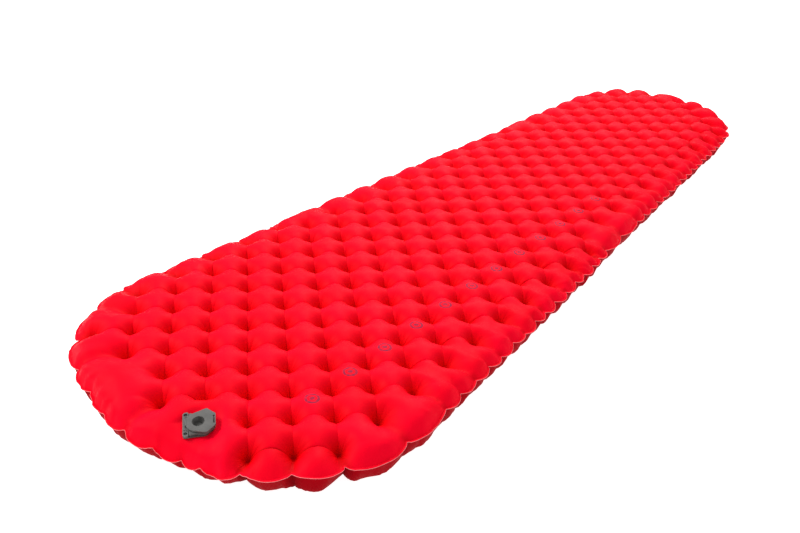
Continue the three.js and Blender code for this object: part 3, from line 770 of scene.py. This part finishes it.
def dot_puckers(look, cloth_place):
    """Small folds that run out from each dot: a noise that changes only with the direction from the dot."""
    x, y, _ = look.parts(cloth_place)
    along = look.math("DIVIDE", look.math("SUBTRACT", x, GRID_ORIGIN.x), DOT_SPACING)
    across = look.math("DIVIDE", look.math("SUBTRACT", y, GRID_ORIGIN.y), DOT_SPACING)
    i, j = look.math("SUBTRACT", along, across), look.math("ADD", along, across)
    whole_i, whole_j = look.math("ROUND", i), look.math("ROUND", j)
    away = look.joined(look.math("SUBTRACT", i, whole_i), look.math("SUBTRACT", j, whole_j))
    direction = look.vector_math("NORMALIZE", away)
    # Any two factors do that aren't whole: they only make the folds of each dot differ.
    which_dot = look.joined(look.math("MULTIPLY", whole_i, 3.7), 0.0, look.math("MULTIPLY", whole_j, 5.3))
    return look.noise(look.vector_math("ADD", direction, which_dot), 2.4, detail=2, roughness=0.6)


def coated_nylon(name, gloss, colour, deep_and_shade_colour, print_colour=None):
    """Thin coated nylon: fine threads, puckers round the dots, and painted shade in the hollows and
    creases, where the tones are deeper.
    """
    look = Look(name, Specular_IOR_Level=gloss)
    cloth_place = look.attribute("cloth_place", "Vector")
    crease = look.attribute("crease", "Fac")
    pit = look.attribute("pit", "Fac")
    clouds = look.noise(cloth_place, 14, detail=3)
    tone = look.mix(look.span(clouds, 0.35, 0.65, 0.0, 0.3), colour, deep_and_shade_colour)
    # Painted shade: the hollow round each dot is coloured deeper towards its middle.
    tone = look.mix(look.span(pit, 0.0, 0.75, 0.0, 1.0), tone, deep_and_shade_colour)
    # Painted shade: the creases and the folds behind the tucks are coloured darker still.
    shadowed = scaled(deep_and_shade_colour, 0.6)
    tone = look.mix(crease, tone, shadowed)
    if print_colour:
        worn = look.span(look.noise(cloth_place, 350, detail=3), 0.3, 0.6, 0.35, 0.85)
        tone = look.mix(look.math("MULTIPLY", printed_marks(look, cloth_place), worn), tone, print_colour)
    look.into("Base Color", tone)
    look.into("Roughness", look.span(look.noise(cloth_place, 60, detail=3), 0.3, 0.7, 0.46, 0.6))
    warp = look.noise(look.stretched(cloth_place, (2600, 500, 1)), 1.0, detail=1)
    weft = look.noise(look.stretched(cloth_place, (500, 2600, 1)), 1.0, detail=1)
    threads = look.bump(look.math("ADD", warp, weft), 0.05 * MM, 0.5)
    puckers = look.bump(look.noise(cloth_place, 120, detail=4, roughness=0.6), 0.35 * MM, 0.5, threads)
    folds = look.math("MULTIPLY", dot_puckers(look, cloth_place), pit)
    look.into("Normal", look.bump(folds, 7 * MM, 0.55, puckers))
    return look.material


def moulded_plastic(name, colour, worn_colour):
    """Matt moulded plastic: a fine grain, edges rubbed a little paler, and painted shade in the hollow
    corners.
    """
    look = Look(name, Specular_IOR_Level=0.4)
    place = look.place()
    bulge = look.node("ShaderNodeNewGeometry", "Pointiness")
    rubbed = look.math("MULTIPLY", look.span(bulge, 0.5, 0.56, 0.0, 1.0), look.noise(place, 300, detail=3))
    mottled = look.mix(look.span(look.noise(place, 90, detail=3), 0.4, 0.6, 0.0, 0.3), colour, worn_colour)
    # Painted shade: hollow corners and gaps, where the pointiness is low, are coloured darker.
    corner_shade = scaled(colour, 0.4)
    cornered = look.mix(look.span(bulge, 0.43, 0.495, 0.9, 0.0), mottled, corner_shade)
    look.into("Base Color", look.mix(rubbed, cornered, worn_colour))
    look.into("Roughness", look.span(look.noise(place, 200, detail=3), 0.3, 0.7, 0.5, 0.68))
    look.into("Normal", look.bump(look.noise(place, 2500, detail=2), 0.05 * MM, 0.6))
    return look.material


def soft_rubber(name, colour):
    look = Look(name, Specular_IOR_Level=0.35)
    place = look.place()
    bloom = look.span(look.noise(place, 250, detail=3), 0.4, 0.7, 0.0, 0.25)
    pale = scaled(colour, 2.2)
    look.into("Base Color", look.mix(bloom, colour, pale))
    look.into("Roughness", look.span(look.noise(place, 400, detail=2), 0.3, 0.7, 0.55, 0.75))
    look.into("Normal", look.bump(look.noise(place, 1500, detail=2), 0.03 * MM, 0.5))
    return look.material


def fibre_batting(name, colour):
    """Loose spun fibres."""
    look = Look(name, Specular_IOR_Level=0.2, Sheen_Weight=0.4)
    place = look.place()
    fibres = look.noise(look.stretched(place, (900, 200, 400)), 1.0, detail=5, roughness=0.7)
    shade = scaled(colour, 0.7)
    look.into("Base Color", look.mix(look.span(fibres, 0.35, 0.6, 0.0, 0.6), colour, shade))
    look.into("Roughness", look.span(fibres, 0.3, 0.7, 0.85, 1.0))
    look.into("Normal", look.bump(fibres, 1 * MM, 0.8))
    return look.material


def metallised_film(name, colour):
    """Thin metallised film, crinkled all over."""
    look = Look(name, Metallic=0.85)
    place = look.place()
    crinkles = look.noise(place, 160, detail=5, roughness=0.65)
    dull = scaled(colour, 0.8)
    look.into("Base Color", look.mix(crinkles, colour, dull))
    look.into("Roughness", look.span(crinkles, 0.3, 0.7, 0.2, 0.42))
    look.into("Normal", look.bump(crinkles, 0.5 * MM, 0.7))
    return look.material


def raw_edge(name, colour):
    """The cut edge of the fabric, where the pale coating shows."""
    look = Look(name, Specular_IOR_Level=0.3)
    place = look.place()
    frayed = look.noise(place, 900, detail=3)
    red = (colour[0], colour[1] * 0.35, colour[2] * 0.4, 1)
    look.into("Base Color", look.mix(look.span(frayed, 0.45, 0.7, 0.0, 0.6), colour, red))
    look.into("Roughness", look.span(frayed, 0.3, 0.7, 0.6, 0.8))
    look.into("Normal", look.bump(frayed, 0.1 * MM, 0.5))
    return look.material


RED = (0.95, 0.0004, 0.019, 1)
# DEEP_RED and DEEP_UNDER_RED vary the shells' tone at random and are also their painted shade in hollows
# and creases.
DEEP_RED = (0.76, 0.0, 0.001, 1)
UNDER_RED = (0.3, 0.0, 0.004, 1)
DEEP_UNDER_RED = (0.2, 0.0, 0.002, 1)
PRINT_VIOLET = (0.16, 0.02, 0.06, 1)
PALE_EDGE = (0.88, 0.24, 0.25, 1)
VALVE_GREY = (0.084, 0.082, 0.077, 1)
VALVE_WORN = (0.13, 0.126, 0.119, 1)
VALVE_DARK = (0.05, 0.048, 0.045, 1)
VALVE_DARK_WORN = (0.09, 0.087, 0.08, 1)
RUBBER = (0.02, 0.019, 0.018, 1)
BATTING_WHITE = (0.8, 0.79, 0.75, 1)
FILM_SILVER = (0.75, 0.76, 0.78, 1)
WELD_FILM_RED = (0.25, 0.01, 0.015, 1)

upper_fabric = coated_nylon("upper_fabric", 0.025, RED, DEEP_RED, PRINT_VIOLET)
lower_fabric = coated_nylon("lower_fabric", 0.01, UNDER_RED, DEEP_UNDER_RED)
pale_edge = raw_edge("raw_edge", PALE_EDGE)
valve_plastic = moulded_plastic("valve_plastic", VALVE_GREY, VALVE_WORN)
dark_plastic = moulded_plastic("valve_dark_plastic", VALVE_DARK, VALVE_DARK_WORN)
seal_rubber = soft_rubber("seal_rubber", RUBBER)
batting = fibre_batting("batting", BATTING_WHITE)
film = metallised_film("film", FILM_SILVER)
weld_film = soft_rubber("weld_film", WELD_FILM_RED)


# ---------------------------------------------------------------- the pad


def build_pad():
    pattern = cut_pattern()
    places, faces, fixed, calm = both_shells(pattern)
    places = inflate(places, faces, fixed, calm)
    fill_saddles(places, pattern)
    pinch_tucks(places, pattern)
    settle_on_floor(places)
    count, rim_start = len(pattern.points), pattern.rim_start
    rim = places[rim_start:count]
    upper = shell_piece("upper_shell_fabric", pattern, places[:count], pattern.faces)
    cut_valve_hole(upper.data, pattern)
    lower_places = np.vstack([places[count:], rim])
    lower = shell_piece("lower_shell_fabric", pattern, lower_places, [face[::-1] for face in pattern.faces])
    seam, edge_slots = seam_strip(rim)
    for piece, material, slot, node in (
        (upper, upper_fabric, "upper_fabric", "top_shell"),
        (lower, lower_fabric, "lower_fabric", "bottom_shell"),
    ):
        piece.data.materials.append(material)
        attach(piece, "root")
        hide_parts(node)
    seam.data.materials.append(upper_fabric)
    seam.data.materials.append(pale_edge)
    seam.data.polygons.foreach_set("material_index", edge_slots)
    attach(seam, "root")


build_pad()


# ---------------------------------------------------------------- the valve


def softened(node, name, edge_width, material, body):
    """A copy of a CAD piece with its sharp edges rounded off, which stands for it."""
    sharp_angle, flat_angle = math.radians(30), math.radians(0.5)
    merge_distance = 0.001 * MM
    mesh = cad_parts[node].data.copy()
    shape = bmesh.new()
    shape.from_mesh(mesh)
    bmesh.ops.remove_doubles(shape, verts=shape.verts, dist=merge_distance)
    bmesh.ops.dissolve_limit(shape, angle_limit=flat_angle, verts=shape.verts, edges=shape.edges)
    sharp = [edge for edge in shape.edges if edge.is_manifold and edge.calc_face_angle() > sharp_angle]
    bmesh.ops.bevel(
        shape, geom=sharp, offset=edge_width, segments=3, profile=0.5, affect="EDGES", clamp_overlap=True,
    )
    bmesh.ops.triangulate(shape, faces=[face for face in shape.faces if len(face.verts) > 4])
    shape.to_mesh(mesh)
    shape.free()
    mesh.materials.clear()
    mesh.materials.append(material)
    mesh.shade_smooth()
    mesh.set_sharp_from_angle(angle=sharp_angle)
    piece = new_object(name, mesh)
    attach(piece, body)
    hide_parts(node)


softened("valve_body", "valve_base", 0.25 * MM, dark_plastic, "root")
softened("lid_strap", "hinge_strap", 0.3 * MM, valve_plastic, "root")
softened("deflate_lid", "lid_moulding", 0.3 * MM, valve_plastic, "deflate_lid")
softened("inflate_cap", "cap_moulding", 0.35 * MM, valve_plastic, "inflate_cap")


WEB_THICKNESS = 0.2 * MM
WEB_STEP = 0.15 * MM
LID_HINGE = (-16.2, 4.85)  # x and z in the valve's frame, in millimetres, as in the CAD
CAP_HINGE = (-15.8, 7.4)


def hinge_web(name, centre_line, half_breadth, bend):
    """A soft strip at a hinge.

    It runs along a line of x, z places in the valve's frame, in millimetres. The two places in bend are
    turned into the pad's frame, and nothing more is done with them.
    """
    corners = np.array(centre_line) * MM
    lengths = np.concatenate([[0], np.cumsum(np.linalg.norm(np.diff(corners, axis=0), axis=1))])
    along = np.linspace(0, lengths[-1], round(lengths[-1] / WEB_STEP))
    line = np.column_stack([np.interp(along, lengths, corners[:, k]) for k in (0, 1)])
    tangent = np.gradient(line, axis=0)
    normal = np.column_stack([-tangent[:, 1], tangent[:, 0]]) / np.linalg.norm(tangent, axis=1)[:, None]
    faces_of_strip = [line + normal * WEB_THICKNESS / 2, (line - normal * WEB_THICKNESS / 2)[::-1]]
    loop = np.vstack(faces_of_strip)
    around = len(loop)
    places = [(x, side * half_breadth, z) for side in (-1, 1) for x, z in loop]
    quads = [(k, (k + 1) % around, around + (k + 1) % around, around + k) for k in range(around)]
    for k in range(len(line) - 1):
        end = (k + 1, k, around - 1 - k, around - 2 - k)
        quads += [end, tuple(around + corner for corner in end[::-1])]
    mesh = bpy.data.meshes.new(name)
    mesh.from_pydata(places, [], quads)
    mesh.transform(valve_frame())
    mesh.materials.append(valve_plastic)
    web = new_object(name, mesh)
    shape = bmesh.new()
    shape.from_mesh(mesh)
    bmesh.ops.recalc_face_normals(shape, faces=shape.faces)
    shape.to_mesh(mesh)
    shape.free()
    start, end = (valve_frame() @ Vector((x * MM, 0, z * MM)) for x, z in bend)
    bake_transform(web)


(lid_x, lid_z), (cap_x, cap_z) = LID_HINGE, CAP_HINGE
hinge_web(
    "lid_hinge_web",
    centre_line=[(lid_x - 1.4, lid_z - 0.04), (lid_x + 1.3, lid_z - 0.04)],
    half_breadth=9.5 * MM,
    bend=[(lid_x - 0.35, lid_z), (lid_x + 0.35, lid_z)],
)
hinge_web(
    "cap_hinge_web",
    centre_line=[(cap_x, 4.95), (cap_x, cap_z - 0.35), (cap_x + 0.35, cap_z), (cap_x + 1.9, cap_z + 0.05)],
    half_breadth=4.5 * MM,
    bend=[(cap_x, cap_z - 0.45), (cap_x + 0.45, cap_z)],
)


def refinish(node, material):
    """A CAD piece whose shape stays, with a finished material."""
    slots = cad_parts[node].data.materials
    slots.clear()
    slots.append(material)


refinish("insulation_batt", batting)
refinish("reflective_film", film)
refinish("valve_weld_flange", weld_film)
refinish("check_seat", dark_plastic)
refinish("check_stem", dark_plastic)
for rubber_node in ("strap_post_left", "strap_post_right", "deflate_seal", "inflate_seal", "check_flap"):
    refinish(rubber_node, seal_rubber)


# ---------------------------------------------------------------- camera, lights and floor

CAMERA_PLACE = Vector((-1.41338, -0.72962, 0.73689))
CAMERA_AZIMUTH = math.radians(34.558)
CAMERA_ELEVATION = math.radians(-28.656)
CAMERA_ROLL = math.radians(3.598)
CAMERA_LENS = 39.143
CAMERA_SENSOR = 36
PAD_MIDDLE = Vector((0, 0, 0))
WORLD_BRIGHTNESS = 0.62


def add_camera():
    level = math.cos(CAMERA_ELEVATION)
    forward = Vector((
        level * math.cos(CAMERA_AZIMUTH), level * math.sin(CAMERA_AZIMUTH), math.sin(CAMERA_ELEVATION),
    ))
    level_right = forward.cross(Vector((0, 0, 1))).normalized()
    right = level_right * math.cos(CAMERA_ROLL) + level_right.cross(forward) * math.sin(CAMERA_ROLL)
    turned = Matrix((right, right.cross(forward), -forward)).transposed()
    data = bpy.data.cameras.new("camera")
    data.sensor_width = CAMERA_SENSOR
    data.lens = CAMERA_LENS
    data.clip_start, data.clip_end = 0.05, 60
    camera = new_object("camera", data)
    camera.matrix_world = Matrix.Translation(CAMERA_PLACE) @ turned.to_4x4()
    bpy.context.scene.camera = camera


def add_softbox(name, place, size, power):
    data = bpy.data.lights.new(name, "AREA")
    data.shape = "DISK"
    data.size = size
    data.energy = power
    lamp = new_object(name, data)
    lamp.location = place
    lamp.rotation_euler = (PAD_MIDDLE - Vector(place)).to_track_quat("-Z", "Y").to_euler()


def add_world(brightness):
    world = bpy.data.worlds.new("studio")
    world.use_nodes = True
    background = world.node_tree.nodes["Background"]
    background.inputs["Color"].default_value = (1, 1, 1, 1)
    background.inputs["Strength"].default_value = brightness
    bpy.context.scene.world = world


def add_floor():
    """A pale floor, with a faint plaster mottle."""
    mesh = bpy.data.meshes.new("floor")
    reach = 12.0
    corners = [(-reach, -reach, 0), (reach, -reach, 0), (reach, reach, 0), (-reach, reach, 0)]
    mesh.from_pydata(corners, [], [(0, 1, 2, 3)])
    floor = new_object("floor", mesh)
    look = Look("pale_floor", Specular_IOR_Level=0.1, Emission_Color=(1, 1, 1, 1), Emission_Strength=0.92)
    mottle = look.noise(look.place(), 5, detail=4)
    look.into("Base Color", look.mix(mottle, (0.7, 0.7, 0.7, 1), (0.73, 0.73, 0.73, 1)))
    look.into("Roughness", look.span(mottle, 0, 1, 0.9, 1.0))
    mesh.materials.append(look.material)


add_camera()
add_world(WORLD_BRIGHTNESS)
add_softbox("key", place=(-2.0, 3.6, 3.6), size=2.4, power=200)
add_softbox("back", place=(4.5, 2.6, 4.5), size=4.0, power=300)
add_floor()
bpy.context.scene.view_settings.view_transform = "Standard"
bpy.context.view_layer.update()
